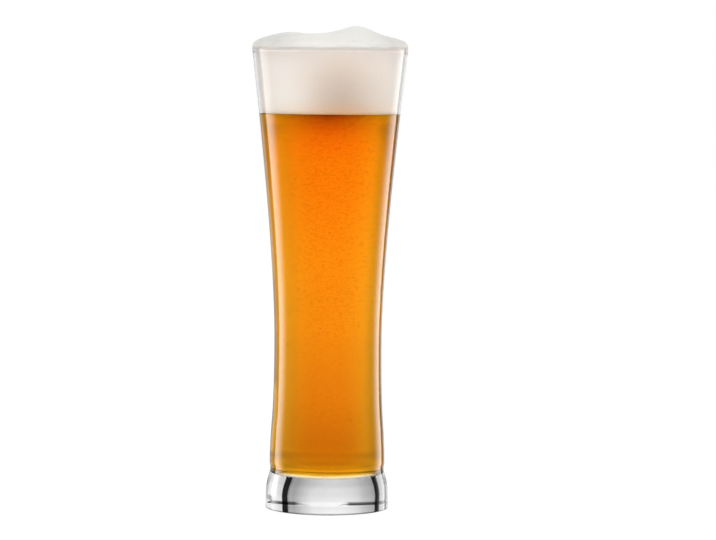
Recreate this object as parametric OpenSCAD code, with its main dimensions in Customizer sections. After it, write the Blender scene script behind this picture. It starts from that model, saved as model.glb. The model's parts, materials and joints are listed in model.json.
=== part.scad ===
// A tall waisted wheat beer glass on a thick clear base, poured full, with its beer and its foam head.
// Millimetres. +Z is up, the origin is the centre of the circle that the glass stands on.

/* [Outside of the glass] */
// Height of the glass, from the table to the top of the lip
glass_h = 250; // [220:1:275]
// Width across the lip, the widest place
rim_d = 84.4; // [76:0.2:94]
// How far the wall leans outwards at the lip, in degrees
rim_angle = 6.7; // [5.5:0.1:8.5]
// Width across the waist, the narrowest place
waist_d = 58.4; // [52:0.2:62]
// Height of the waist
waist_z = 90; // [75:1:105]
// Width across the low shoulder, where the bowl is widest below the waist
shoulder_d = 62.6; // [62:0.2:68]
// Height of the low shoulder
shoulder_z = 26; // [24:0.5:34]
// Width across the neck, the slight groove between the bowl and the base
neck_d = 61.8; // [56:0.2:62]
// Height of the neck
neck_z = 21; // [17:0.5:23]
// Width across the foot of the base
foot_d = 66.6; // [63:0.2:74]
// Height at which the foot is widest
foot_z = 6.5; // [4:0.5:9]
// Radius of the heel, the rounded edge that the base stands on
heel_r = 0.6; // [0.4:0.1:2]

/* [Wall and base] */
// Wall thickness at the lip, which is fully rounded
rim_wall = 1.3; // [0.9:0.1:1.8]
// Wall thickness at the waist
waist_wall = 1.9; // [1.3:0.1:2.6]
// Wall thickness at the bottom of the bowl
bottom_wall = 2.4; // [1.8:0.1:3.5]
// Thickness of the solid base, from the table to the floor of the bowl
base_t = 17.6; // [14:0.1:23]
// Radius of the rounded corner between the floor of the bowl and its wall
floor_r = 5; // [1:0.5:8]
// Width of the flat ring that the glass stands on
ring_w = 2.9; // [1.5:0.1:6]
// Depth of the shallow hollow inside that ring
punt_depth = 1; // [0.4:0.1:2]

/* [Drink] */
// Depth of foam below the lip of the glass
foam_depth = 35.4; // [20:0.5:60]
// Height of the foam's body above the lip
foam_crown = 6.4; // [3:0.1:12]
// Height that the highest lobe adds to the foam
foam_peak = 5.6; // [2:0.1:9]
// Height that the low folds add to the foam
foam_fold = 2; // [0.5:0.1:4]

/* [Hidden] */

rim_r = rim_d / 2;
waist_r = waist_d / 2;
shoulder_r = shoulder_d / 2;
neck_r = neck_d / 2;
foot_r = foot_d / 2;
punt_r = foot_r - heel_r - ring_w;
lip_r = rim_wall / 2;
bowl_r = shoulder_r - bottom_wall;
waist_in_r = waist_r - waist_wall;
bowl_z = base_t + floor_r;
beer_z = glass_h - foam_depth;

// Where each easing curve lets go of its upright ends, as shares of its height: upper end, lower end
bowl_shares = [0.44, 0.125];
neck_shares = [0.3, 0.3];
foot_shares = [0.03, 0.4];

// Steps along each curve of the outline
flare_steps = 20;
low_flare_steps = 12;
head_steps = 5;
bowl_steps = 8;
neck_steps = 3;
foot_steps = 5;
heel_steps = 6;
lip_steps = 8;
corner_steps = 9;
punt_steps = 6;

// Facets round the foam and its rings from its edge to the middle, as shares of its radius
foam_sides = 48;
foam_ring_shares = [1, 0.998, 0.99, 0.972, 0.94, 0.89, 0.82, 0.73, 0.62, 0.5, 0.38, 0.26, 0.13];
// How far the foam laps over the outer half of the lip
foam_lap_share = 0.92;
// How square and how steep the foam's shoulder is
foam_square = 5;
foam_steep = 0.4;
// The peak and the low folds of the foam, as shares of its radius: across, back, width, depth
peak_shares = [0.34, 0.2, 0.27, 0.5];
fold_shares = [[-0.52, -0.1, 0.28, 0.6], [0.2, -0.58, 0.5, 0.2], [0.12, 0.62, 0.4, 0.22]];

$fn = 96;

// A point at a share t of the way along a parabola from a to c, which leaves and arrives towards b
function bend(a, b, c, t) = (1 - t) * (1 - t) * a + 2 * t * (1 - t) * b + t * t * c;

// Points from a down to b, both [radius, height], upright at each end, without the first point
function ease(a, b, shares, steps) =
    let (
        reach = a.y - b.y,
        leave = [a.x, a.y - reach * shares[0]],
        arrive = [b.x, b.y + reach * shares[1]],
        middle = (leave + arrive) / 2
    )
    concat(
        [for (i = [1 : steps]) bend(a, leave, middle, i / steps)],
        [for (i = [1 : steps]) bend(middle, arrive, b, i / steps)]
    );

// Points on an arc about a centre, from one angle to another, without the first point
function arc(centre, r, from, to, steps) =
    [for (i = [1 : steps])
        let (turn = from + (to - from) * i / steps)
        centre + r * [cos(turn), sin(turn)]];

// The lip: its centre, and where the wall's two faces run into it
lip = [rim_r - lip_r, glass_h - lip_r];
lip_side = lip_r * [cos(rim_angle), -sin(rim_angle)];
lip_out = lip + lip_side;
lip_in = lip - lip_side;

// The flare rises upright from the waist and ends at the lip's own lean.
// Each flare is [radius at the waist, height where the two straight runs would cross, end point]
function flare(r, end) = [r, end.y - (end.x - r) / tan(rim_angle), end];
flare_out = flare(waist_r, lip_out);
flare_in = flare(waist_in_r, lip_in);

// The share of the way along a flare at which it reaches the height z
function flare_share(f, z) =
    let (
        square = waist_z - 2 * f[1] + f[2].y,
        slope = 2 * (f[1] - waist_z)
    )
    (sqrt(slope * slope - 4 * square * (waist_z - z)) - slope) / (2 * square);

// Points up a flare between two heights, without the first point
function flare_points(f, from, to, steps) =
    let (
        start = flare_share(f, from),
        stop = flare_share(f, to)
    )
    [for (i = [1 : steps])
        bend([f[0], waist_z], [f[0], f[1]], f[2], start + (stop - start) * i / steps)];

function turned_round(points) = [for (i = [len(points) - 1 : -1 : 0]) points[i]];

waist = [waist_r, waist_z];
shoulder = [shoulder_r, shoulder_z];
neck = [neck_r, neck_z];
foot = [foot_r, foot_z];
heel = [foot_r - heel_r, heel_r];
waist_in = [waist_in_r, waist_z];
bowl = [bowl_r, bowl_z];

// Outer face, from the lip down to the circle that the glass stands on
outer_face = concat(
    turned_round(flare_points(flare_out, waist_z, lip_out.y, flare_steps)),
    [waist],
    ease(waist, shoulder, bowl_shares, bowl_steps),
    ease(shoulder, neck, neck_shares, neck_steps),
    ease(neck, foot, foot_shares, foot_steps),
    [[foot_r, heel_r]],
    arc(heel, heel_r, 0, -90, heel_steps)
);

// Shallow domed hollow under the base, from its edge to the middle
punt_face = [for (i = [0 : punt_steps])
    let (out = 1 - i / punt_steps)
    [punt_r * out, punt_depth * (1 - out * out)]];

// Inner face, from the middle of the floor up to the beer, and on up to the lip
wet_face = concat(
    [[0, base_t], [bowl_r - floor_r, base_t]],
    arc([bowl_r - floor_r, bowl_z], floor_r, -90, 0, corner_steps),
    turned_round(ease(waist_in, bowl, bowl_shares, bowl_steps)),
    [waist_in],
    flare_points(flare_in, waist_z, beer_z, low_flare_steps)
);
head_face = flare_points(flare_in, beer_z, lip_in.y, head_steps);

// The rounded top of the lip, from the inner face to the outer one
lip_face = arc(lip, lip_r, 180 - rim_angle, -rim_angle, lip_steps);

// The first half of the lip's round, from the inner face to its top, which the foam fills and laps over
lip_crest = arc(lip, lip_r, 180 - rim_angle, 90, lip_steps / 2);
foam_r = lip.x + lip_r * foam_lap_share;

module glass() {
    color([0.86, 0.93, 0.93, 0.35])
        rotate_extrude()
            polygon(concat(wet_face, head_face, lip_face, outer_face, punt_face));
}

module beer() {
    color([0.93, 0.5, 0.04, 0.9])
        rotate_extrude()
            polygon(concat(wet_face, [[0, beer_z]]));
}

// Height of one lobe of the foam at the place p, for a lobe given as shares of the foam's radius
function lobe(p, s) =
    let (
        across = (p.x / foam_r - s[0]) / s[2],
        back = (p.y / foam_r - s[1]) / s[3]
    )
    exp(-across * across - back * back);

// Height of the foam's top above the lip at the place p
function foam_rise(p) =
    let (
        out = min(1, norm(p) / foam_r),
        folds = [for (s = fold_shares) lobe(p, s)],
        body = foam_crown + foam_peak * lobe(p, peak_shares) + foam_fold * (folds * [for (s = folds) 1])
    )
    body * pow(1 - pow(out, foam_square), foam_steep);

// One ring of the foam's skin, with its own height at each place
function skin_ring(r) =
    [for (i = [0 : foam_sides - 1])
        let (p = r * [cos(360 * i / foam_sides), sin(360 * i / foam_sides)])
        [p.x, p.y, glass_h + foam_rise(p)]];

// One level ring of the foam, for a point [radius, height] of the glass's inner face
function level_ring(point) =
    [for (i = [0 : foam_sides - 1])
        let (turn = 360 * i / foam_sides)
        [point.x * cos(turn), point.x * sin(turn), point.y]];

module foam_head() {
    sides_face = concat([wet_face[len(wet_face) - 1]], head_face, lip_crest);
    rings = concat(
        [for (point = sides_face) level_ring(point)],
        [for (share = foam_ring_shares) skin_ring(share * foam_r)]
    );
    top = [0, 0, glass_h + foam_rise([0, 0])];
    points = concat([for (ring = rings) each ring], [top]);
    last = len(rings) - 1;
    under = [[for (i = [0 : foam_sides - 1]) i]];
    walls = [for (j = [0 : last - 1], i = [0 : foam_sides - 1])
        let (
            k = (i + 1) % foam_sides,
            low = j * foam_sides,
            high = low + foam_sides
        )
        each [[low + i, high + i, high + k], [low + i, high + k, low + k]]];
    cap = [for (i = [0 : foam_sides - 1])
        [last * foam_sides + i, len(points) - 1, last * foam_sides + (i + 1) % foam_sides]];
    color([0.97, 0.94, 0.88])
        polyhedron(points, concat(under, walls, cap), convexity = 4);
}

glass();
beer();
foam_head();
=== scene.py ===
"""Dresses a tall waisted wheat beer glass: its clear vessel, golden beer, rising bubbles and foam head.

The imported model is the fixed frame. Its turned solids are faceted too coarsely to refract light well, so each
is replaced by a finely turned form of the same outline. The studio is set to the photograph's view.
Lengths are in metres, apart from tables that say millimetres.
"""

import json
import math
import random

import bmesh
import bpy
from mathutils import Matrix, Vector

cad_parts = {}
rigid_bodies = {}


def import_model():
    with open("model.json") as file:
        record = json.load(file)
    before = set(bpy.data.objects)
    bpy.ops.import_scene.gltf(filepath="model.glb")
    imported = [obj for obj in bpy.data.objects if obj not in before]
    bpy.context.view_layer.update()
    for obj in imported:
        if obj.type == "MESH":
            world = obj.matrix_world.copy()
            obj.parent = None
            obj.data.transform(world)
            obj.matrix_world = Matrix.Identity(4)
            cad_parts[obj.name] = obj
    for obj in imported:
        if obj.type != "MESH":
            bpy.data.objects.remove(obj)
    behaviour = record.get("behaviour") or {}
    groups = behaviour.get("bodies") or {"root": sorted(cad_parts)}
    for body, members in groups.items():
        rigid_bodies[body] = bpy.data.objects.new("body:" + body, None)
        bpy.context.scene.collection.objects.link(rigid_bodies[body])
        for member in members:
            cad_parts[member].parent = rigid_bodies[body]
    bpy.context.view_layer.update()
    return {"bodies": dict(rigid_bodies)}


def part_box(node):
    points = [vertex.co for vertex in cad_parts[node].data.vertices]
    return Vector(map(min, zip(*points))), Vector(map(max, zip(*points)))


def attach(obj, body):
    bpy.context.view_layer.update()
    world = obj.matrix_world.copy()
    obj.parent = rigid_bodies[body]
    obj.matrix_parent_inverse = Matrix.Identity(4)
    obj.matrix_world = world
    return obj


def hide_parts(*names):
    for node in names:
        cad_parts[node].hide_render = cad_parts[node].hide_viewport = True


bl_info = {
    "name": "Weizen Glass",
    "version": (1, 0, 0),
    "blender": (4, 5, 0),
    "location": "View3D > Sidebar > Weizen Glass",
    "description": "Turns a waisted wheat beer glass and pours its beer and foam head",
    "category": "Add Mesh",
}

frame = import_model()
BODY = next(iter(frame["bodies"]))
GLASS_LOW, GLASS_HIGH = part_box("glass")
BEER_LOW, BEER_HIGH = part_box("beer")
FOAM_LOW, FOAM_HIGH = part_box("foam_head")
TO_MM = 1000


class GlassForm(bpy.types.PropertyGroup):
    """Sizes of the vessel, as on a maker's drawing of its outline."""

    height: bpy.props.FloatProperty(
        name="Height", description="From the table to the top of the lip",
        default=GLASS_HIGH.z, unit="LENGTH")
    rim_width: bpy.props.FloatProperty(
        name="Rim width", description="Across the lip", default=2 * GLASS_HIGH.x, unit="LENGTH")
    rim_lean: bpy.props.FloatProperty(
        name="Rim lean", description="How far the wall leans outwards at the lip",
        default=math.radians(6.7), subtype="ANGLE")
    waist_width: bpy.props.FloatProperty(
        name="Waist width", description="Across the narrowest place", default=0.0584, unit="LENGTH")
    waist_height: bpy.props.FloatProperty(
        name="Waist height", description="From the table to the waist", default=0.090, unit="LENGTH")
    shoulder_width: bpy.props.FloatProperty(
        name="Shoulder width", description="Across the low shoulder of the bowl",
        default=0.0626, unit="LENGTH")
    shoulder_height: bpy.props.FloatProperty(
        name="Shoulder height", description="From the table to the low shoulder",
        default=0.026, unit="LENGTH")
    neck_width: bpy.props.FloatProperty(
        name="Neck width", description="Across the groove over the base", default=0.0618, unit="LENGTH")
    neck_height: bpy.props.FloatProperty(
        name="Neck height", description="From the table to the groove", default=0.021, unit="LENGTH")
    foot_width: bpy.props.FloatProperty(
        name="Foot width", description="Across the widest place of the base", default=0.0666, unit="LENGTH")
    foot_height: bpy.props.FloatProperty(
        name="Foot height", description="From the table to the widest place of the base",
        default=0.0065, unit="LENGTH")
    heel_radius: bpy.props.FloatProperty(
        name="Heel radius", description="Rounding of the edge under the foot",
        default=0.0003, unit="LENGTH")
    ring_width: bpy.props.FloatProperty(
        name="Ring width", description="Flat ring that the glass stands on", default=0.0029, unit="LENGTH")
    punt_depth: bpy.props.FloatProperty(
        name="Punt depth", description="Shallow hollow inside that ring", default=0.001, unit="LENGTH")
    rim_wall: bpy.props.FloatProperty(
        name="Wall at the lip", description="Thickness of the rounded lip", default=0.0013, unit="LENGTH")
    waist_wall: bpy.props.FloatProperty(
        name="Wall at the waist", description="Thickness of the wall there", default=0.0019, unit="LENGTH")
    bottom_wall: bpy.props.FloatProperty(
        name="Wall at the bottom", description="Thickness at the bottom of the bowl",
        default=0.0024, unit="LENGTH")
    floor_radius: bpy.props.FloatProperty(
        name="Floor rounding", description="Rounded corner between floor and wall",
        default=0.005, unit="LENGTH")
    floor_height: bpy.props.FloatProperty(
        name="Floor height", description="Thickness of the solid base", default=BEER_LOW.z, unit="LENGTH")
    turns: bpy.props.IntProperty(
        name="Facets round", description="Facets round every turned form", default=224, min=48, max=512)


class DrinkLook(bpy.types.PropertyGroup):
    """Level and colours of the beer, and the form and colours of the foam."""

    beer_level: bpy.props.FloatProperty(
        name="Beer level", description="Where the foam starts", default=BEER_HIGH.z, unit="LENGTH")
    overlap: bpy.props.FloatProperty(
        name="Wetting overlap", description="How far the drink reaches into the wall it wets",
        default=0.00005, unit="LENGTH")
    beer_tint: bpy.props.FloatVectorProperty(
        name="Beer tint", description="What a thick layer of beer lets through", subtype="COLOR",
        size=3, min=0, max=1, default=(0.99, 0.82, 0.0))
    beer_depth: bpy.props.FloatProperty(
        name="Beer strength", description="Absorption per metre", default=100.0)
    foam_crown: bpy.props.FloatProperty(
        name="Foam crown", description="Height of the foam's body over the lip",
        default=0.0064, unit="LENGTH")
    foam_peak: bpy.props.FloatProperty(
        name="Foam peak", description="Height that the highest lobe adds", default=0.0056, unit="LENGTH")
    foam_fold: bpy.props.FloatProperty(
        name="Foam folds", description="Height that each low fold adds", default=0.002, unit="LENGTH")
    foam_lap: bpy.props.FloatProperty(
        name="Foam lap", description="How far the foam laps over the lip, as a share of the wall's half",
        default=0.92)
    bubbles: bpy.props.IntProperty(
        name="Bubbles", description="Bubbles hanging in the beer", default=240, min=0, max=2000)


class StudioSet(bpy.types.PropertyGroup):
    """The photograph's view and the tones of the studio."""

    distance: bpy.props.FloatProperty(
        name="Camera distance", description="From the axis of the glass", default=1.77, unit="LENGTH")
    camera_height: bpy.props.FloatProperty(
        name="Camera height", description="Above the table", default=0.251, unit="LENGTH")
    pitch: bpy.props.FloatProperty(
        name="Camera pitch", description="How far the camera looks down", default=math.radians(3.92),
        subtype="ANGLE")
    roll: bpy.props.FloatProperty(
        name="Camera roll", description="The photograph's slight lean", default=math.radians(0.49),
        subtype="ANGLE")
    lens: bpy.props.FloatProperty(
        name="Focal length", description="In millimetres, on a sensor 36 mm wide", default=164.27)
    side_step: bpy.props.FloatProperty(
        name="Side step", description="Camera's place to the right of the axis",
        default=0.016, unit="LENGTH")


# Points closer than this are one, and faces that look up more than this share are level
WELD = 1e-6
LEVEL_SHARE = 0.9
# How far under the floor of the bowl a face's middle still counts as wetted
FLOOR_SLACK = 1e-5
# Steps along each stretch of the outline
FLARE_STEPS = 48
WET_FLARE_STEPS = 32
HEAD_STEPS = 12
BOWL_STEPS = 16
CORNER_STEPS = 16
NECK_STEPS = 6
FOOT_STEPS = 10
HEEL_STEPS = 10
PUNT_STEPS = 12
LIP_STEPS = 14
# Where each easing curve lets go of its upright ends, as shares of its height: upper end, lower end
BOWL_SHARES = (0.44, 0.125)
NECK_SHARES = (0.3, 0.3)
FOOT_SHARES = (0.03, 0.4)
# The peak and the low folds of the foam, as shares of its radius: across, back, width, depth
PEAK_SHARES = (0.34, 0.2, 0.27, 0.5)
FOLD_SHARES = ((-0.52, -0.1, 0.28, 0.6), (0.2, -0.58, 0.5, 0.2), (0.12, 0.62, 0.4, 0.22))
# How square and how steep the foam's shoulder is
FOAM_SQUARE = 5
FOAM_STEEP = 0.4
# The innermost rings of the foam's top, as shares of its radius
INNER_SHARES = [0.15, 0.08, 0.0]

# Tones of the set seen through the glass, by azimuth: 0 behind it, + to its right, in degrees
THROUGH_TONES = (
    (-180, 1.2), (-140, 1.2), (-100, 1.1), (-84, 0.7), (-70, 0.4), (-56, 0.42), (-50, 0.6), (-45, 0.68),
    (-40, 0.68), (-36, 0.72), (-33, 0.75), (-30, 0.8), (-24, 0.99), (-20, 1.05), (-15, 1.07), (0, 1.07),
    (15, 1.0), (20, 0.9), (24, 0.88), (27.6, 0.9), (30, 0.97), (33, 0.93), (37, 0.87), (41, 0.92),
    (46, 0.78), (50, 0.76), (56, 0.42), (72, 0.35), (84, 0.7), (100, 1.1), (140, 1.2), (180, 1.2))
# How those tones change with the height seen, in degrees over the horizon
RISE_TONES = (
    (-40, 0.95), (-30, 0.95), (-24, 0.88), (-20, 0.8), (-17, 0.78), (-14, 0.78), (-12, 0.79), (-9.6, 0.8),
    (-8.2, 0.86), (-7, 0.88), (-5.8, 0.93), (-4.4, 0.99), (-2.8, 1.02), (-1.2, 1.08), (2.5, 1.085),
    (3.5, 1.06), (4.3, 0.84), (8, 0.82), (11, 0.86), (16, 0.9), (30, 0.98), (40, 0.98))
# Mirrored in the wall: two tall soft lights between dark gaps, and a dark side where the camera stands
MIRROR_TONES = (
    (-180, 0.02), (-86, 0.02), (-80, 0.22), (-77, 0.6), (-72, 1.75), (-69, 2.6), (-66, 3.1), (-60, 3.4),
    (-53, 3.2), (-51, 0.05), (-40, 0.05), (-36, 0.5), (0, 0.6), (20, 0.9), (24, 0.9), (27, 0.05),
    (37, 0.05), (39.5, 3.0), (48.5, 2.8), (53, 2.4), (56.5, 2.0), (60, 1.45), (63, 0.87), (66, 0.5),
    (71, 0.1), (76, 0.02), (180, 0.02))
# Painted shade in the thick base's colour, by how aslant its wall is seen: dark bands where the dark edges of
# the set would gather, on the -X half and on the +X half
BASE_LEFT_PAINTED_SHADE = (
    (0, 0.9), (0.03, 0.78), (0.065, 0.68), (0.13, 0.52), (0.165, 0.55), (0.185, 0.46), (0.195, 0.4),
    (0.206, 0.02), (0.282, 0.02), (0.294, 1.0), (1, 1.0))
BASE_RIGHT_PAINTED_SHADE = (
    (0, 0.92), (0.04, 0.87), (0.1, 0.8), (0.165, 0.73), (0.223, 0.74), (0.296, 0.71), (0.345, 0.62),
    (0.362, 0.02), (0.437, 0.02), (0.458, 0.35), (0.474, 1.0), (1, 1.0))
# Colours of the foam by its height over the beer, in millimetres, as lit and shaded copies: pale as painted
# light, and tan as painted shade; both peach near the beer as its painted glow, and near white at the lip as
# painted light, the pale one dipping just under it
PAINTED_LIT_FOAM = (
    (0, (0.95, 0.66, 0.42)), (1.2, (0.94, 0.74, 0.58)), (2.5, (0.93, 0.79, 0.68)),
    (8, (0.92, 0.84, 0.76)), (16, (0.93, 0.84, 0.77)), (25, (0.915, 0.825, 0.77)),
    (33, (0.82, 0.74, 0.68)), (34.4, (0.96, 0.89, 0.84)), (36, (0.96, 0.9, 0.85)))
PAINTED_SHADED_FOAM = (
    (0, (0.92, 0.46, 0.18)), (1.0, (0.82, 0.46, 0.24)), (2.3, (0.69, 0.44, 0.28)),
    (7.7, (0.63, 0.49, 0.38)), (16, (0.68, 0.56, 0.47)), (24, (0.77, 0.65, 0.55)),
    (33, (0.83, 0.73, 0.66)), (34.4, (0.96, 0.87, 0.81)), (36, (0.96, 0.9, 0.85)))
# Colours of the foam by its height over the lip, in millimetres: near white at the lip as painted light, and
# greyer higher up as painted shade
TOP_FOAM_PAINTED_SHADE = (
    (-0.5, (0.96, 0.94, 0.9)), (0.4, (0.86, 0.84, 0.79)), (2.4, (0.85, 0.83, 0.79)),
    (3.6, (0.80, 0.79, 0.75)), (8, (0.79, 0.785, 0.75)), (14, (0.80, 0.795, 0.78)))
# Painted shade of the beer by its depth under the foam, in millimetres, with some of its own tint: a painted
# shadow of the foam just under it and darker at its bottom; in its middle, to its sides, at its edges
MIDDLE_BEER_PAINTED_SHADE = (
    (0, (0.16, 0.039, 0.02)), (0.5, (0.22, 0.061, 0.02)), (1.0, (0.29, 0.112, 0.02)),
    (1.6, (0.37, 0.164, 0.05)), (2.6, (0.48, 0.212, 0.1)), (3.5, (0.52, 0.251, 0.2)),
    (5.3, (0.625, 0.303, 0.3)), (7.5, (0.74, 0.355, 0.4)), (11, (0.87, 0.467, 0.5)),
    (16.7, (0.97, 0.562, 0.6)), (25, (0.98, 0.64, 0.8)), (41, (0.99, 0.657, 0.9)), (58, (1, 0.692, 1)),
    (80, (1, 0.727, 1)), (105, (1, 0.727, 1)), (123, (1, 0.718, 1)), (144, (0.98, 0.666, 1)),
    (166, (0.96, 0.64, 0.97)), (175, (0.86, 0.58, 0.85)), (183, (0.765, 0.52, 0.72)),
    (188, (0.78, 0.61, 0.75)), (190, (1.0, 0.95, 0.95)), (196, (1, 1, 1)))
SIDE_BEER_PAINTED_SHADE = (
    (0, (0.75, 0.8, 0.3)), (1.0, (0.78, 0.93, 0.5)), (1.6, (0.86, 0.95, 0.6)), (3.2, (0.97, 0.93, 0.8)),
    (20, (1, 0.92, 1)), (41, (1, 0.88, 1)), (58, (1, 0.9, 1)), (123, (1, 0.9, 1)), (150, (1, 0.95, 1)),
    (166, (1, 0.97, 1)), (178, (0.96, 0.93, 0.98)), (184, (0.88, 0.84, 0.9)), (188, (0.75, 0.72, 0.85)),
    (190, (0.6, 0.6, 0.8)), (192.5, (0.9, 0.92, 0.95)), (196, (0.95, 0.95, 1)))
EDGE_BEER_PAINTED_SHADE = (
    (0, (0.75, 0.85, 0.3)), (1.0, (0.76, 0.95, 0.5)), (3.2, (0.92, 1.0, 0.8)), (60, (0.92, 0.97, 1.0)),
    (123, (0.92, 0.94, 1.0)), (150, (0.95, 0.98, 1.0)), (178, (0.98, 1.0, 1.0)),
    (185.3, (0.81, 0.83, 0.9)), (187.4, (0.92, 0.92, 1.0)), (188.4, (1, 1, 1)), (196, (1, 1, 1)))
# Further painted shade at the bottom of the beer, on the side that light enters only
LOW_BEER_PAINTED_SHADE = (
    (181, (1, 1, 1)), (182.2, (0.85, 0.77, 0.9)), (183.2, (0.69, 0.62, 0.85)), (184.3, (0.54, 0.47, 0.8)),
    (186.4, (0.52, 0.44, 0.8)), (187.5, (0.64, 0.6, 0.85)), (188.6, (0.8, 0.76, 0.9)),
    (189.6, (0.79, 0.75, 0.95)), (190.6, (0.72, 0.68, 0.95)), (191.7, (0.84, 0.9, 1)), (192.9, (1, 1, 1)),
    (194.2, (1, 1, 1)), (195.5, (0.55, 0.62, 0.85)), (197, (0.4, 0.42, 0.7)))


def bend(a, b, c, t):
    """The point at a share t of the way along a parabola from a to c that leaves and arrives towards b."""
    return a * (1 - t) ** 2 + b * (2 * t * (1 - t)) + c * t ** 2


def ease(a, b, shares, steps):
    """Points from a down to b, both (radius, height), upright at each end, without the first point."""
    reach = a.y - b.y
    leave = Vector((a.x, a.y - reach * shares[0]))
    arrive = Vector((b.x, b.y + reach * shares[1]))
    middle = (leave + arrive) / 2
    first = [bend(a, leave, middle, i / steps) for i in range(1, steps + 1)]
    return first + [bend(middle, arrive, b, i / steps) for i in range(1, steps + 1)]


def arc(centre, radius, start, stop, steps):
    """Points on an arc about a centre from one angle to another, without the first point."""
    turns = [start + (stop - start) * i / steps for i in range(1, steps + 1)]
    return [centre + radius * Vector((math.cos(t), math.sin(t))) for t in turns]


class Flare:
    """The upper wall: it rises upright from the waist and ends at the lip's own lean."""

    def __init__(self, start, end, lean):
        self.start, self.end = start, end
        self.cross = Vector((start.x, end.y - (end.x - start.x) / math.tan(lean)))

    def share(self, height):
        """The share of the way along the flare at which it reaches a height."""
        square = self.start.y - 2 * self.cross.y + self.end.y
        slope = 2 * (self.cross.y - self.start.y)
        return (math.sqrt(slope ** 2 - 4 * square * (self.start.y - height)) - slope) / (2 * square)

    def points(self, low, high, steps):
        """Points up the flare between two heights, without the first point."""
        a, b = self.share(low), self.share(high)
        return [bend(self.start, self.cross, self.end, a + (b - a) * i / steps) for i in range(1, steps + 1)]


class Outline:
    """The half outline of the glass as (radius, height) points, in the stretches that its contents share."""

    def __init__(self, form, level):
        lip_r = form.rim_wall / 2
        self.lip = Vector((form.rim_width / 2 - lip_r, form.height - lip_r))
        lean = form.rim_lean
        side = lip_r * Vector((math.cos(lean), -math.sin(lean)))
        waist = Vector((form.waist_width / 2, form.waist_height))
        waist_in = waist - Vector((form.waist_wall, 0))
        shoulder = Vector((form.shoulder_width / 2, form.shoulder_height))
        neck = Vector((form.neck_width / 2, form.neck_height))
        foot = Vector((form.foot_width / 2, form.foot_height))
        heel = Vector((foot.x - form.heel_radius, form.heel_radius))
        bowl = Vector((shoulder.x - form.bottom_wall, form.floor_height + form.floor_radius))
        corner = Vector((bowl.x - form.floor_radius, bowl.y))
        outside = Flare(waist, self.lip + side, lean)
        inside = Flare(waist_in, self.lip - side, lean)

        self.outer = outside.points(waist.y, outside.end.y, FLARE_STEPS)[::-1] + [waist]
        self.outer += ease(waist, shoulder, BOWL_SHARES, BOWL_STEPS)
        self.outer += ease(shoulder, neck, NECK_SHARES, NECK_STEPS)
        self.outer += ease(neck, foot, FOOT_SHARES, FOOT_STEPS)
        self.outer += [Vector((foot.x, heel.y))]
        self.outer += arc(heel, form.heel_radius, 0, -math.pi / 2, HEEL_STEPS)
        punt_r = heel.x - form.ring_width
        outs = [1 - i / PUNT_STEPS for i in range(PUNT_STEPS + 1)]
        self.punt = [Vector((punt_r * out, form.punt_depth * (1 - out ** 2))) for out in outs]
        self.wet = [Vector((0, form.floor_height)), Vector((corner.x / 2, form.floor_height))]
        self.wet += [Vector((corner.x, form.floor_height))]
        self.wet += arc(corner, form.floor_radius, -math.pi / 2, 0, CORNER_STEPS)
        self.wet += ease(waist_in, bowl, BOWL_SHARES, BOWL_STEPS)[::-1][1:] + [waist_in]
        self.wet += inside.points(waist.y, level, WET_FLARE_STEPS)
        self.head = inside.points(level, inside.end.y, HEAD_STEPS)
        self.lip_round = arc(self.lip, lip_r, math.pi - lean, -lean, LIP_STEPS)
        self.lip_r = lip_r
        self.lean = lean

    def lip_crest(self, overlap):
        """The inner half of the lip's round, drawn in by an overlap or let out by a negative one."""
        return arc(self.lip, self.lip_r - overlap, math.pi - self.lean, math.pi / 2, LIP_STEPS // 2)


def pushed_out(points, reach):
    """The same points moved outwards from the axis, apart from those on it."""
    return [p + Vector((reach if p.x > reach else 0, 0)) for p in points]


def add_piece(name, shape, materials, node=None):
    """Makes a smooth object of a bmesh, puts it on its CAD body and hides the CAD part that it stands in for.
    """
    mesh = bpy.data.meshes.new(name)
    for face in shape.faces:
        face.smooth = True
    shape.to_mesh(mesh)
    shape.free()
    piece = bpy.data.objects.new(name, mesh)
    bpy.context.scene.collection.objects.link(piece)
    for material in materials:
        mesh.materials.append(material)
    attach(piece, BODY)
    if node:
        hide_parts(node)
    return piece


def turned(points, turns, closed=False):
    """A bmesh turned from a half outline about the upright axis, with its seam and poles closed."""
    shape = bmesh.new()
    verts = [shape.verts.new((p.x, 0, p.y)) for p in points]
    edges = [shape.edges.new(pair) for pair in zip(verts, verts[1:])]
    if closed:
        edges.append(shape.edges.new((verts[-1], verts[0])))
    bmesh.ops.spin(shape, geom=verts + edges, cent=(0, 0, 0), axis=(0, 0, 1),
                   angle=2 * math.pi, steps=turns, use_merge=True)
    bmesh.ops.remove_doubles(shape, verts=shape.verts, dist=WELD)
    bmesh.ops.recalc_face_normals(shape, faces=shape.faces)
    return shape


class Wire:
    """A shader socket that takes part in sums: an expression on wires adds its Math nodes."""

    def __init__(self, board, socket):
        self.board, self.socket = board, socket

    def _math(self, operation, *values):
        return self.board.add("ShaderNodeMath", {"operation": operation}, dict(enumerate(values))).out(0)

    def __add__(self, other):
        return self._math("ADD", self, other)

    def __sub__(self, other):
        return self._math("SUBTRACT", self, other)

    def __rsub__(self, other):
        return self._math("SUBTRACT", other, self)

    def __mul__(self, other):
        return self._math("MULTIPLY", self, other)

    def __truediv__(self, other):
        return self._math("DIVIDE", self, other)

    def __pow__(self, other):
        return self._math("POWER", self, other)

    def __abs__(self):
        return self._math("ABSOLUTE", self)

    def arcsine(self):
        return self._math("ARCSINE", self)

    def azimuth_with(self, ahead):
        """The angle from straight ahead of a direction with this part sideways and that part ahead."""
        return self._math("ARCTAN2", self, ahead)

    __radd__, __rmul__ = __add__, __mul__


class Placed:
    """A node on a board, whose outputs are wires."""

    def __init__(self, board, node):
        self.board, self.node = board, node

    def out(self, key):
        return Wire(self.board, self.node.outputs[key])


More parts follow.
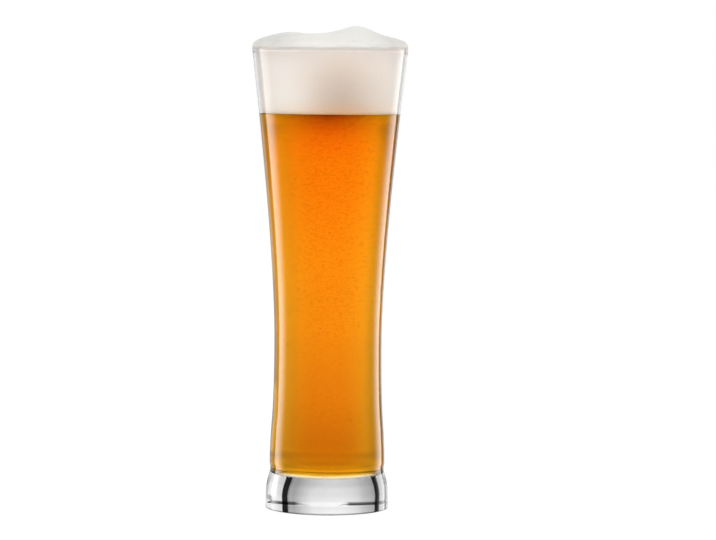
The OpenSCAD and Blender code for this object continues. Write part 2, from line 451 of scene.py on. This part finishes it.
class Board:
    """A node tree to which nodes are added with their settings and what their sockets take."""

    def __init__(self, tree):
        self.tree = tree
        tree.nodes.clear()

    def add(self, kind, settings=None, sockets=None):
        """Adds a node. A ramp's stops are given as the setting stops: (place, colour) pairs."""
        node = self.tree.nodes.new(kind)
        for key, value in (settings or {}).items():
            if key == "stops":
                self._set_stops(node.color_ramp, value)
            else:
                setattr(node, key, value)
        for key, value in (sockets or {}).items():
            socket = node.inputs[key]
            if isinstance(value, Wire):
                self.tree.links.new(value.socket, socket)
            else:
                socket.default_value = value
        return Placed(self, node)

    @staticmethod
    def _set_stops(ramp, stops):
        while len(ramp.elements) < len(stops):
            ramp.elements.new(1.0)
        for element, (place, colour) in zip(ramp.elements, stops):
            element.position = place
            element.color = (*colour, 1.0)

    def step(self, value, low, high):
        """A smooth step that rises from 0 at low to 1 at high."""
        sockets = {"Value": value, "From Min": low, "From Max": high}
        return self.add("ShaderNodeMapRange", {"interpolation_type": "SMOOTHSTEP"}, sockets).out("Result")

    def within(self, value, rise, fall):
        """A smooth window that opens over one span and closes over another."""
        return self.step(value, *rise) * (1 - self.step(value, *fall))

    def blend(self, share, first, second, way="MIX"):
        """Mixes two colours by a share, or multiplies the second one in."""
        settings = {"data_type": "RGBA", "clamp_factor": True, "blend_type": way}
        return self.add("ShaderNodeMix", settings, {0: share, 6: first, 7: second}).out(2)

    def mix(self, share, first, second):
        """Mixes two values by a share."""
        settings = {"data_type": "FLOAT", "clamp_factor": True}
        return self.add("ShaderNodeMix", settings, {0: share, 2: first, 3: second}).out(0)

    def shades(self, value, stops):
        """A colour read off a table of (value, colour) pairs."""
        low, high = stops[0][0], stops[-1][0]
        spread = [((place - low) / (high - low), colour) for place, colour in stops]
        return self.add("ShaderNodeValToRGB", {"stops": spread}, {0: (value - low) / (high - low)}).out(0)

    def tones(self, value, stops):
        """A tone read off a table of (value, tone) pairs."""
        peak = max(tone for _, tone in stops)
        return self.shades(value, [(place, (tone / peak,) * 3) for place, tone in stops]) * peak

    def noise(self, place, scale, detail=2.0, roughness=0.5):
        sockets = {"Vector": place, "Scale": scale, "Detail": detail, "Roughness": roughness}
        return self.add("ShaderNodeTexNoise", {}, sockets).out(0)

    def cells(self, place, scale, smoothness):
        sockets = {"Vector": place, "Scale": scale, "Smoothness": smoothness}
        return self.add("ShaderNodeTexVoronoi", {"feature": "SMOOTH_F1"}, sockets).out("Distance")

    def bump(self, height, strength, distance, under=None):
        """A bump of a strength and a distance, laid on the one under it if there is one."""
        sockets = {"Strength": strength, "Distance": distance, "Height": height}
        if under:
            sockets["Normal"] = under
        return self.add("ShaderNodeBump", {}, sockets).out(0)


def new_material(name):
    material = bpy.data.materials.new(name)
    material.use_nodes = True
    return material, Board(material.node_tree)


def swing(noise, reach):
    """A noise about its middle value, scaled to a reach."""
    return (noise - 0.5) * reach


# The clear glass: its refraction, its tint, and how much mirror tone the wall round the foam keeps
GLASS_IOR = 1.52
GLASS_TINT = (0.992, 0.997, 0.994, 1.0)
UPPER_MIRROR = 0.08
# Its waviness and its breath, as scale, detail and roughness of noise
GLASS_WAVES = (45.0, 1.0)
WAVE_STRETCH = (1.0, 1.0, 0.25)
WAVE_BUMP = (0.02, 0.0004)
GLASS_BREATH = (160.0, 3.0, 0.6)
BREATH_SPAN = (0.5, 0.9)
BREATH_ROUGHNESS = 0.012
# The thick base's painted shade: where its tones end, where its dark bands bend inwards and by how much a
# metre, and across which its left tones give way to its right ones
BASE_TOP = (0.0192, 0.0205)
BEND_LOW = 0.009
BEND_HIGH = 0.0187
BEND_SLOPE = 3.8
BASE_MIDDLE = (-0.004, 0.004)
# Painted shade: brightness of the base at the table, and what it gains or loses over spans of height: (gain,
# from, to)
FOOT_PAINTED_BRIGHTNESS = 0.45
BASE_PAINTED_GAINS = ((0.61, 0.0005, 0.0012), (-0.06, 0.006, 0.012), (-0.12, 0.0135, 0.0165))
# The back of the heel, where light is trapped: its height, its depth behind the axis and its middle, and how
# far to each side of the middle it lets light out, and where painted shade turns it dark
HEEL_TOP = (0.0005, 0.0011)
HEEL_BACK = (0.0, 0.01)
HEEL_MIDDLE = -0.001
HEEL_OPEN = (0.0031, 0.0042)
HEEL_PAINTED_DARK = (0.0038, 0.0047)
HEEL_PAINTED_SHADE = 0.95
BLACK = (0.0, 0.0, 0.0, 1.0)


def painted_base_shade(board, parts):
    """Painted shade of the thick base: dark bands that bend inwards as they rise, and a dimmer foot."""
    height = parts.out("Z")
    lift = board.add("ShaderNodeClamp", {}, {"Value": height, "Min": BEND_LOW, "Max": BEND_HIGH}).out(0)
    slant = board.add("ShaderNodeLayerWeight").out("Facing") + (lift - BEND_HIGH) * BEND_SLOPE
    band = board.mix(board.step(parts.out("X"), *BASE_MIDDLE),
                     board.tones(slant, BASE_LEFT_PAINTED_SHADE), board.tones(slant, BASE_RIGHT_PAINTED_SHADE))
    bright = FOOT_PAINTED_BRIGHTNESS
    for gain, low, high in BASE_PAINTED_GAINS:
        bright = board.step(height, low, high) * gain + bright
    return band * bright


def clear_glass(name, mirror=1.0):
    """Bright crystal, with the faint waviness and breath of a machine-blown wall.

    The wetted face has no mirror tone of its own, because beer lies against it instead of air, and the
    wall round the foam has little. Soft light on its way to the foam passes straight through the wall.
    """
    material, board = new_material(name)
    place = board.add("ShaderNodeTexCoord").out("Object")
    parts = board.add("ShaderNodeSeparateXYZ", {}, {0: place})
    height = parts.out("Z")
    stretched = board.add("ShaderNodeMapping", {}, {"Vector": place, "Scale": WAVE_STRETCH}).out(0)
    waves = board.noise(stretched, *GLASS_WAVES)
    breath = board.noise(place, *GLASS_BREATH)
    # Painted shade: dark bands and a dimmer foot, put into the colour of the base where light enters it
    band = painted_base_shade(board, parts)
    entering = 1 - board.add("ShaderNodeNewGeometry").out("Backfacing")
    in_base = (1 - board.step(height, *BASE_TOP)) * entering
    aside = abs(parts.out("X") - HEEL_MIDDLE)
    heel = (1 - board.step(height, *HEEL_TOP)) * board.step(parts.out("Y"), *HEEL_BACK)
    # Painted shade: the glass tint turns toward black at the back of the heel, to each side of its middle
    tint = board.blend(heel * board.step(aside, *HEEL_PAINTED_DARK) * HEEL_PAINTED_SHADE, GLASS_TINT, BLACK)
    shader = board.add("ShaderNodeBsdfPrincipled", {}, {
        "Base Color": board.blend(in_base, tint, band * band),
        "Roughness": board.step(breath, *BREATH_SPAN) * BREATH_ROUGHNESS * mirror,
        "IOR": GLASS_IOR,
        "Specular Tint": (mirror, mirror, mirror, 1.0),
        "Transmission Weight": 1.0,
        "Normal": board.bump(waves, *WAVE_BUMP),
    })
    path = board.add("ShaderNodeLightPath")
    shadow, soft = path.out("Is Shadow Ray"), path.out("Is Diffuse Ray")
    passes = shadow + soft - shadow * soft
    passes = passes + (1 - passes) * heel * (1 - board.step(aside, *HEEL_OPEN))
    clear = board.add("ShaderNodeBsdfTransparent")
    mixed = board.add("ShaderNodeMixShader", {}, {0: passes, 1: shader.out(0), 2: clear.out(0)})
    board.add("ShaderNodeOutputMaterial", {}, {"Surface": mixed.out(0)})
    return material


# The beer: its refraction, and the slow clouds in its tint
BEER_IOR = 1.34
BEER_CLOUDS = (38.0, 3.0, 0.55)
CLOUD_SPAN = (0.3, 0.8)
CLOUD_TINTS = ((1.0, 0.995, 0.98, 1.0), (0.985, 0.96, 0.93, 1.0))
# How aslant its face is seen, from 0 to 1: where its middle turns to its sides, and its sides to its edges
SIDE_SLANT = (0.005, 0.16)
EDGE_SLANT = (0.13, 0.2)
# Just under the foam the middle gives way by this slant and power instead, down to depths in millimetres
FOAM_SLANT = 0.16
FOAM_POWER = 0.8
UNDER_FOAM = (6, 22)
# Where the further painted shade at the bottom fades, and how far
LOW_SLANT = (0.1, 0.3)
LOW_FADE = 0.9
# Specks of fine bubbles: their noise, and how they thin out with depth in millimetres and to both sides
BEER_SPECKS = (850.0, 1.0)
SPECK_SPAN = (0.53, 0.63)
SPECK_DEPTHS = (60, 150)
SPECK_THINNING = 0.6
SPECK_MIDDLE = 0.0015
SPECK_REACH = (0.007, 0.018)
SPECK_SHARE = 0.4
SPECK_TINT = (0.75, 0.5, 0.3, 1.0)


def painted_beer_shade(board, depth, facing):
    """Painted shade of the beer by its depth and by how aslant its face is seen."""
    edge = board.blend(board.step(facing, *EDGE_SLANT), board.shades(depth, SIDE_BEER_PAINTED_SHADE),
                       board.shades(depth, EDGE_BEER_PAINTED_SHADE))
    near_foam = (facing / FOAM_SLANT) ** FOAM_POWER
    side = board.mix(board.step(depth, *UNDER_FOAM), near_foam, board.step(facing, *SIDE_SLANT))
    shade = board.blend(side, board.shades(depth, MIDDLE_BEER_PAINTED_SHADE), edge)
    entering = 1 - board.add("ShaderNodeNewGeometry").out("Backfacing")
    low = entering * (1 - board.step(facing, *LOW_SLANT) * LOW_FADE)
    return board.blend(low, shade, board.shades(depth, LOW_BEER_PAINTED_SHADE), "MULTIPLY")


def golden_beer(drink):
    """Clear golden beer, coloured by its depth, with painted shade under the foam and at the bottom."""
    material, board = new_material("golden_beer")
    place = board.add("ShaderNodeTexCoord").out("Object")
    parts = board.add("ShaderNodeSeparateXYZ", {}, {0: place})
    depth = (drink.beer_level - parts.out("Z")) * TO_MM
    facing = board.add("ShaderNodeLayerWeight").out("Facing")
    cloud = board.step(board.noise(place, *BEER_CLOUDS), *CLOUD_SPAN)
    tone = board.blend(cloud, *CLOUD_TINTS)
    specks = board.step(board.noise(place, *BEER_SPECKS), *SPECK_SPAN)
    specks = specks * (1 - board.step(depth, *SPECK_DEPTHS) * SPECK_THINNING)
    specks = specks * (1 - board.step(abs(parts.out("X") - SPECK_MIDDLE), *SPECK_REACH))
    tone = board.blend(specks * SPECK_SHARE, tone, SPECK_TINT)
    shader = board.add("ShaderNodeBsdfPrincipled", {}, {
        # Base Color multiplies in the painted shade: a painted shadow under the foam, and darker at the bottom
        "Base Color": board.blend(1.0, tone, painted_beer_shade(board, depth, facing), "MULTIPLY"),
        "Roughness": 0.0,
        "IOR": BEER_IOR,
        "Specular Tint": BLACK,
        "Transmission Weight": 1.0,
    })
    soak = board.add("ShaderNodeVolumeAbsorption", {}, {
        "Color": (*drink.beer_tint, 1.0), "Density": drink.beer_depth})
    board.add("ShaderNodeOutputMaterial", {}, {"Surface": shader.out(0), "Volume": soak.out(0)})
    return material


# The froth: its refraction, its roughness and how far light spreads in it
FOAM_IOR = 1.33
FOAM_ROUGHNESS = 0.62
ROUGHNESS_SWING = 0.2
FOAM_SCATTER = 0.5
SCATTER_RADIUS = (0.006, 0.005, 0.004)
# Its noises, as scale, detail and roughness: patches of colour, drifts of the painted tan shade, and folds over
# the lip
FOAM_PATCHES = (55.0, 4.0, 0.6)
FOAM_DRIFTS = (30.0, 2.0, 0.5)
FOAM_FOLDS = (75.0, 2.0, 0.55)
FOLD_STRETCH = (0.45, 1.0, 1.5)
# How far the patches shift its colours up and down, in millimetres, under the lip and over it
SIDE_SWING = 3
TOP_SWING = 2
# The tan of painted shade across the head: its middle, how far it reaches and how far the drifts move it
PAINTED_SHADE_MIDDLE = 0.007
PAINTED_SHADE_REACH = (0.0, 0.034)
PAINTED_SHADE_SWING = 0.012
# The painted shade at the sides of the head
SIDE_REACH = (0.031, 0.037)
SIDE_PAINTED_SHADE = 0.12
SIDE_PAINTED_SHADE_TINT = (0.3, 0.28, 0.25, 1.0)
# The painted shade that greys the top, on both sides of its middle
GREY_MIDDLE = 0.002
GREY_REACH = (0.014, 0.034)
GREY_SWING = 0.014
GREY_PAINTED_SHADE_SHARE = 0.2
GREY_PAINTED_SHADE_TINT = (0.2, 0.2, 0.15, 1.0)
# Where the colours under the lip turn to those over it, measured from the lip
OVER_LIP = (-0.0015, 0.0005)
# The lap of foam on the lip, which soft light passes: measured from the outside of the rim and from the lip
LAP_INSIDE = (-0.0013, -0.001)
LAP_TOP = (0.002, 0.004)
# Cells of the froth, as scale and smoothness, and the pale middles of the fine ones
FINE_CELLS = (1500.0, 0.6)
COARSE_CELLS = (520.0, 0.7)
CELL_SPAN = (0.1, 0.7)
CELL_SHARE = 0.1
CELL_TINT = (0.99, 0.98, 0.96, 1.0)
# Bumps, as strength and distance
FOLD_BUMP = (0.8, 0.006)
FINE_BUMP = (0.2, 0.0003)
COARSE_BUMP = (0.15, 0.0008)


def foam_colour_with_painted_light(board, across, rise, over_lip, patches, drifts):
    """Colour of the froth, with painted light and shade: pale to tan under the lip, darker at its sides, greyer
    over it.
    """
    rise = rise * TO_MM + swing(patches, SIDE_SWING)
    # Painted shade: the tan shaded copy in the head's middle, the pale lit copy to its sides
    tan = 1 - board.step(abs(across - PAINTED_SHADE_MIDDLE) + swing(drifts, PAINTED_SHADE_SWING), *PAINTED_SHADE_REACH)
    colour = board.blend(tan, board.shades(rise, PAINTED_LIT_FOAM), board.shades(rise, PAINTED_SHADED_FOAM))
    # Painted shade darkens the sides of the head
    colour = board.blend(board.step(abs(across), *SIDE_REACH) * SIDE_PAINTED_SHADE, colour, SIDE_PAINTED_SHADE_TINT)
    # Painted shade greys the top on both sides of its middle
    painted_grey = board.step(abs(across - GREY_MIDDLE) + swing(patches, GREY_SWING), *GREY_REACH)
    top = board.shades(over_lip * TO_MM + swing(patches, TOP_SWING), TOP_FOAM_PAINTED_SHADE)
    top = board.blend(painted_grey * GREY_PAINTED_SHADE_SHARE, top, GREY_PAINTED_SHADE_TINT)
    return board.blend(board.step(over_lip, *OVER_LIP), colour, top)


def beer_foam(form, drink):
    """Fine creamy froth with painted light and shade: greyer over the lip, pale to tan against the wall, peach
    as a painted glow where it meets the beer.
    """
    material, board = new_material("beer_foam")
    place = board.add("ShaderNodeTexCoord").out("Object")
    parts = board.add("ShaderNodeSeparateXYZ", {}, {0: place})
    across, back, height = (parts.out(axis) for axis in "XYZ")
    over_lip = height - form.height
    patches = board.noise(place, *FOAM_PATCHES)
    drifts = board.noise(place, *FOAM_DRIFTS)
    colour = foam_colour_with_painted_light(board, across, height - drink.beer_level, over_lip, patches, drifts)
    fine_cells = board.cells(place, *FINE_CELLS)
    coarse_cells = board.cells(place, *COARSE_CELLS)
    middles = 1 - board.step(fine_cells, *CELL_SPAN)
    flat = board.add("ShaderNodeMapping", {}, {"Vector": place, "Scale": FOLD_STRETCH}).out(0)
    folds = board.noise(flat, *FOAM_FOLDS) * board.step(over_lip, *OVER_LIP)
    bump = board.bump(folds, *FOLD_BUMP)
    bump = board.bump(1 - fine_cells, *FINE_BUMP, bump)
    bump = board.bump(1 - coarse_cells, *COARSE_BUMP, bump)
    shader = board.add("ShaderNodeBsdfPrincipled", {}, {
        "Base Color": board.blend(middles * CELL_SHARE, colour, CELL_TINT),
        "Roughness": swing(patches, ROUGHNESS_SWING) + FOAM_ROUGHNESS,
        "IOR": FOAM_IOR,
        "Subsurface Weight": FOAM_SCATTER,
        "Subsurface Radius": SCATTER_RADIUS,
        "Subsurface Scale": 1.0,
        "Normal": bump,
    })
    outwards = (across * across + back * back) ** 0.5 - form.rim_width / 2
    lap = board.step(outwards, *LAP_INSIDE) * (1 - board.step(over_lip, *LAP_TOP))
    soft = board.add("ShaderNodeLightPath").out("Is Diffuse Ray")
    clear = board.add("ShaderNodeBsdfTransparent")
    mixed = board.add("ShaderNodeMixShader", {}, {0: soft * lap, 1: shader.out(0), 2: clear.out(0)})
    board.add("ShaderNodeOutputMaterial", {}, {"Surface": mixed.out(0)})
    return material


# The bubbles in the beer: the film on them
BUBBLE_FILM = (900.0, 1.0)
FILM_TINTS = ((1.0, 0.93, 0.8, 1.0), (0.9, 0.78, 0.6, 1.0))
FILM_ROUGHNESS = 0.02


def bubble_gas():
    """The bright-ringed look of a small bubble in beer."""
    material, board = new_material("bubble_gas")
    place = board.add("ShaderNodeTexCoord").out("Object")
    film = board.noise(place, *BUBBLE_FILM)
    shader = board.add("ShaderNodeBsdfPrincipled", {}, {
        "Base Color": board.blend(film, *FILM_TINTS),
        "Roughness": FILM_ROUGHNESS,
        "IOR": BEER_IOR,
        "Transmission Weight": 1.0,
    })
    board.add("ShaderNodeOutputMaterial", {}, {"Surface": shader.out(0)})
    return material


def lobe(x, y, shares):
    """Height of one lobe of the foam, at a place given as shares of its radius."""
    across, back, width, depth = shares
    return math.exp(-((x - across) / width) ** 2 - ((y - back) / depth) ** 2)


def foam_rise(drink, x, y):
    """Height of the foam's top over the lip, at a place given as shares of its radius."""
    out = min(math.hypot(x, y), 1.0)
    folds = sum(lobe(x, y, shares) for shares in FOLD_SHARES)
    body = drink.foam_crown + drink.foam_peak * lobe(x, y, PEAK_SHARES) + drink.foam_fold * folds
    return body * (1 - out ** FOAM_SQUARE) ** FOAM_STEEP


def outline_of(scene):
    return Outline(scene.glass_form, scene.drink_look.beer_level)


class WEIZEN_OT_turn_glass(bpy.types.Operator):
    """Turns the vessel from its outline, in one piece from lip to base"""

    bl_idname = "weizen.turn_glass"
    bl_label = "Turn the Glass"

    def execute(self, context):
        form = context.scene.glass_form
        line = outline_of(context.scene)
        points = line.wet + line.head + line.lip_round + line.outer + line.punt
        shape = turned(points, form.turns)
        shape.normal_update()
        level = context.scene.drink_look.beer_level
        for face in shape.faces:
            centre, normal = face.calc_center_median(), face.normal
            inward = normal.x * centre.x + normal.y * centre.y < -WELD or normal.z > LEVEL_SHARE
            wetted = inward and form.floor_height - FLOOR_SLACK < centre.z < level
            face.material_index = 2 if centre.z > level else int(wetted)
        skins = [clear_glass("clear_glass"), clear_glass("clear_glass_wetted", 0.0),
                 clear_glass("clear_glass_upper", UPPER_MIRROR)]
        add_piece("glass_vessel", shape, skins, "glass")
        return {"FINISHED"}


class WEIZEN_OT_pour_beer(bpy.types.Operator):
    """Fills the bowl with beer up to its level"""

    bl_idname = "weizen.pour_beer"
    bl_label = "Pour the Beer"

    def execute(self, context):
        drink = context.scene.drink_look
        line = outline_of(context.scene)
        floor = [p - Vector((0, drink.overlap)) for p in line.wet[:3]]
        sides = pushed_out(line.wet[3:], drink.overlap)
        top = drink.beer_level + drink.overlap
        points = floor + sides + [Vector((sides[-1].x, top)), Vector((0, top))]
        shape = turned(points, context.scene.glass_form.turns)
        add_piece("beer_body", shape, [golden_beer(drink)], "beer")
        return {"FINISHED"}


class WEIZEN_OT_top_with_foam(bpy.types.Operator):
    """Lays the foam head on the beer, with its peak and folds over the lip"""

    bl_idname = "weizen.top_with_foam"
    bl_label = "Top with Foam"

    rings: bpy.props.IntProperty(name="Rings", description="Rings over the top of the foam", default=64)

    def execute(self, context):
        form, drink = context.scene.glass_form, context.scene.drink_look
        line = outline_of(context.scene)
        sides = pushed_out([line.wet[-1]] + line.head[:-1], -drink.overlap)
        sides += pushed_out(line.head[-1:], drink.overlap)
        reach = line.lip.x + line.lip_r * drink.foam_lap
        turns = [math.pi / 2 * i / self.rings for i in range(self.rings)]
        shares = [math.cos(turn) ** (2 / FOAM_SQUARE) for turn in turns] + INNER_SHARES
        top = [Vector((reach * share, form.height)) for share in shares]
        points = [Vector((0, drink.beer_level))] + sides + line.lip_crest(drink.overlap) + top
        shape = turned(points, form.turns)
        for vert in shape.verts:
            if vert.co.z > form.height - WELD:
                vert.co.z += foam_rise(drink, vert.co.x / reach, vert.co.y / reach)
        bmesh.ops.recalc_face_normals(shape, faces=shape.faces)
        add_piece("foam_dome", shape, [beer_foam(form, drink)], "foam_head")
        return {"FINISHED"}


# The bubbles: sides and rings of each, the lowest as a share of the beer's level, the smallest radius and
# what the largest adds, the gap to the wall in radii, and how far they drift up and hang down
BUBBLE_SIDES = 8
BUBBLE_RINGS = 6
BUBBLE_LOW_SHARE = 0.2
BUBBLE_RADIUS = 0.00016
BUBBLE_GROWTH = 0.00022
WALL_GAP = 3
BUBBLE_DRIFT = 0.003
BUBBLE_DROP = 0.004
# Powers that crowd them upwards, towards the small sizes and towards the wall
UPWARD_POWER = 0.7
SMALL_POWER = 2
OUTWARD_POWER = 0.3


class WEIZEN_OT_raise_bubbles(bpy.types.Operator):
    """Hangs small bubbles in the beer, most of them near the wall and under the foam"""

    bl_idname = "weizen.raise_bubbles"
    bl_label = "Raise the Bubbles"

    seed: bpy.props.IntProperty(name="Seed", description="Which scatter of bubbles", default=11)

    def execute(self, context):
        drink = context.scene.drink_look
        line = outline_of(context.scene)
        draw = random.Random(self.seed)
        walls = [p for p in line.wet if p.y > drink.beer_level * BUBBLE_LOW_SHARE]
        bead = bmesh.new()
        bmesh.ops.create_uvsphere(bead, u_segments=BUBBLE_SIDES, v_segments=BUBBLE_RINGS, radius=1.0)
        pattern = bpy.data.meshes.new("bead")
        bead.to_mesh(pattern)
        bead.free()
        shape = bmesh.new()
        for _ in range(drink.bubbles):
            wall = walls[int(len(walls) * draw.random() ** UPWARD_POWER)]
            size = BUBBLE_RADIUS + BUBBLE_GROWTH * draw.random() ** SMALL_POWER
            out = (wall.x - WALL_GAP * size) * draw.random() ** OUTWARD_POWER
            turn = 2 * math.pi * draw.random()
            rise = wall.y + BUBBLE_DRIFT * draw.random() - BUBBLE_DROP
            spot = Matrix.Translation((out * math.cos(turn), out * math.sin(turn), rise))
            spot = spot @ Matrix.Scale(size, 4)
            pattern.transform(spot)
            shape.from_mesh(pattern)
            pattern.transform(spot.inverted())
        bpy.data.meshes.remove(pattern)
        add_piece("beer_bubbles", shape, [bubble_gas()])
        return {"FINISHED"}


# The floor: its radius, its sides, how far under the glass it lies, the grain and tints of its surface,
# and the share and strength of its white to the camera
FLOOR_RADIUS = 4.0
FLOOR_SIDES = 96
FLOOR_DROP = 0.0002
FLOOR_GRAIN = (30.0, 3.0)
FLOOR_TINTS = ((0.90, 0.90, 0.90, 1.0), (0.93, 0.93, 0.93, 1.0))
FLOOR_WHITE_SHARE = 0.8
FLOOR_WHITE = 1.08
WHITE = (1.0, 1.0, 1.0, 1.0)
# Panels of the set seen through the glass, as spans in degrees of azimuth and elevation, and their tones
SIDE_PANEL = (51, 57)
SIDE_PANEL_FOOT = (-0.5, 1.5)
LOW_PANEL = ((43, 48), (66, 74))
LOW_PANEL_TOP = (-8.8, -7.4)
PANEL_TONE = 1.0
CROWN = ((32, 37), (43, 50))
CROWN_SIDES = (25, 40)
CROWN_TONE = 0.35
# The tone far above and far below, for all that is seen through the glass, and for what its wall mirrors
STEEP = (24, 36)
STEEP_TONE = 1.05
MIRROR_ABOVE = (40, 65)
MIRROR_ABOVE_TONE = 0.9
MIRROR_BELOW = (-38, -22)
MIRROR_BELOW_TONE = 0.25
SENSOR_WIDTH = 36.0
CLIP_NEAR = 0.05
CLIP_FAR = 50.0


class WEIZEN_OT_set_studio(bpy.types.Operator):
    """Lays the pale floor, lights the set and places the camera at the photograph's view"""

    bl_idname = "weizen.set_studio"
    bl_label = "Set the Studio"

    def execute(self, context):
        scene = context.scene
        self.lay_floor(scene)
        self.light_world(scene)
        self.place_camera(scene)
        scene.view_settings.view_transform = "Standard"
        return {"FINISHED"}

    def lay_floor(self, scene):
        """A wide pale floor just under the glass, near white to the camera, which keeps the shadow."""
        shape = bmesh.new()
        bmesh.ops.create_circle(shape, cap_ends=True, segments=FLOOR_SIDES, radius=FLOOR_RADIUS)
        mesh = bpy.data.meshes.new("studio_floor")
        shape.to_mesh(mesh)
        shape.free()
        floor = bpy.data.objects.new("studio_floor", mesh)
        scene.collection.objects.link(floor)
        mesh.transform(Matrix.Translation((0, 0, -FLOOR_DROP)))
        material, board = new_material("pale_floor")
        place = board.add("ShaderNodeTexCoord").out("Object")
        colour = board.blend(board.noise(place, *FLOOR_GRAIN), *FLOOR_TINTS)
        matt = board.add("ShaderNodeBsdfDiffuse", {}, {"Color": colour})
        white = board.add("ShaderNodeEmission", {}, {"Color": WHITE, "Strength": FLOOR_WHITE})
        share = board.add("ShaderNodeLightPath").out("Is Camera Ray") * FLOOR_WHITE_SHARE
        mixed = board.add("ShaderNodeMixShader", {}, {0: share, 1: matt.out(0), 2: white.out(0)})
        board.add("ShaderNodeOutputMaterial", {}, {"Surface": mixed.out(0)})
        mesh.materials.append(material)
        floor.visible_transmission = False
        floor.visible_glossy = False

    def light_world(self, scene):
        """A white set, dimmer to its sides, with tall side lights beyond dark gaps and a softer front."""
        world = bpy.data.worlds.new("studio_world")
        scene.world = world
        world.use_nodes = True
        board = Board(world.node_tree)
        ray = board.add("ShaderNodeTexCoord").out("Generated")
        parts = board.add("ShaderNodeSeparateXYZ", {}, {0: ray})
        azimuth = parts.out("X").azimuth_with(parts.out("Y")) * math.degrees(1)
        elevation = parts.out("Z").arcsine() * math.degrees(1)
        path = board.add("ShaderNodeLightPath")
        bounced = path.out("Is Glossy Ray") * (1 - path.out("Is Transmission Ray"))
        tone = board.mix(bounced, self.seen_through(board, azimuth, elevation),
                         self.mirrored(board, azimuth, elevation))
        strength = board.mix(path.out("Is Camera Ray"), tone, 1.0)
        sky = board.add("ShaderNodeBackground", {}, {"Color": WHITE, "Strength": strength})
        board.add("ShaderNodeOutputWorld", {}, {"Surface": sky.out(0)})

    @staticmethod
    def seen_through(board, azimuth, elevation):
        """Tones of the set seen through the glass and its beer."""
        tone = board.tones(azimuth, THROUGH_TONES) * board.tones(elevation, RISE_TONES)
        panels = board.step(azimuth, *SIDE_PANEL) * board.step(elevation, *SIDE_PANEL_FOOT)
        panels = panels + board.within(azimuth, *LOW_PANEL) * (1 - board.step(elevation, *LOW_PANEL_TOP))
        tone = board.mix(panels, tone, PANEL_TONE)
        tone = board.mix(board.step(abs(elevation), *STEEP), tone, STEEP_TONE)
        crown = board.within(elevation, *CROWN) * (1 - board.step(abs(azimuth), *CROWN_SIDES))
        return tone + crown * CROWN_TONE

    @staticmethod
    def mirrored(board, azimuth, elevation):
        """Tones of the set mirrored in the wall."""
        tone = board.tones(azimuth, MIRROR_TONES)
        tone = board.mix(board.step(elevation, *MIRROR_ABOVE), tone, MIRROR_ABOVE_TONE)
        return board.mix(board.step(elevation, *MIRROR_BELOW), MIRROR_BELOW_TONE, tone)

    def place_camera(self, scene):
        studio = scene.studio_set
        data = bpy.data.cameras.new("photo_camera")
        camera = bpy.data.objects.new("photo_camera", data)
        scene.collection.objects.link(camera)
        data.sensor_width = SENSOR_WIDTH
        data.lens = studio.lens
        data.clip_start = CLIP_NEAR
        data.clip_end = CLIP_FAR
        place = Matrix.Translation((studio.side_step, -studio.distance, studio.camera_height))
        tilt = Matrix.Rotation(math.pi / 2 - studio.pitch, 4, "X")
        lean = Matrix.Rotation(studio.roll, 4, "Z")
        camera.matrix_world = place @ tilt @ lean
        scene.camera = camera


class WEIZEN_PT_sidebar(bpy.types.Panel):
    """Lists the steps that make the glass"""

    bl_idname = "WEIZEN_PT_sidebar"
    bl_label = "Weizen Glass"
    bl_space_type = "VIEW_3D"
    bl_region_type = "UI"
    bl_category = "Weizen Glass"

    def draw(self, context):
        for step in STEPS:
            self.layout.operator(step.bl_idname)


STEPS = (WEIZEN_OT_turn_glass, WEIZEN_OT_pour_beer, WEIZEN_OT_top_with_foam, WEIZEN_OT_raise_bubbles,
         WEIZEN_OT_set_studio)
GROUPS = {"glass_form": GlassForm, "drink_look": DrinkLook, "studio_set": StudioSet}


def register():
    for group in GROUPS.values():
        bpy.utils.register_class(group)
    for step in (*STEPS, WEIZEN_PT_sidebar):
        bpy.utils.register_class(step)
    for name, group in GROUPS.items():
        setattr(bpy.types.Scene, name, bpy.props.PointerProperty(type=group))


def unregister():
    for name in GROUPS:
        delattr(bpy.types.Scene, name)
    for step in (*STEPS, WEIZEN_PT_sidebar):
        bpy.utils.unregister_class(step)
    for group in GROUPS.values():
        bpy.utils.unregister_class(group)


def main():
    register()
    bpy.ops.weizen.turn_glass()
    bpy.ops.weizen.pour_beer()
    bpy.ops.weizen.top_with_foam()
    bpy.ops.weizen.raise_bubbles()
    bpy.ops.weizen.set_studio()


if __name__ == "__main__":
    main()
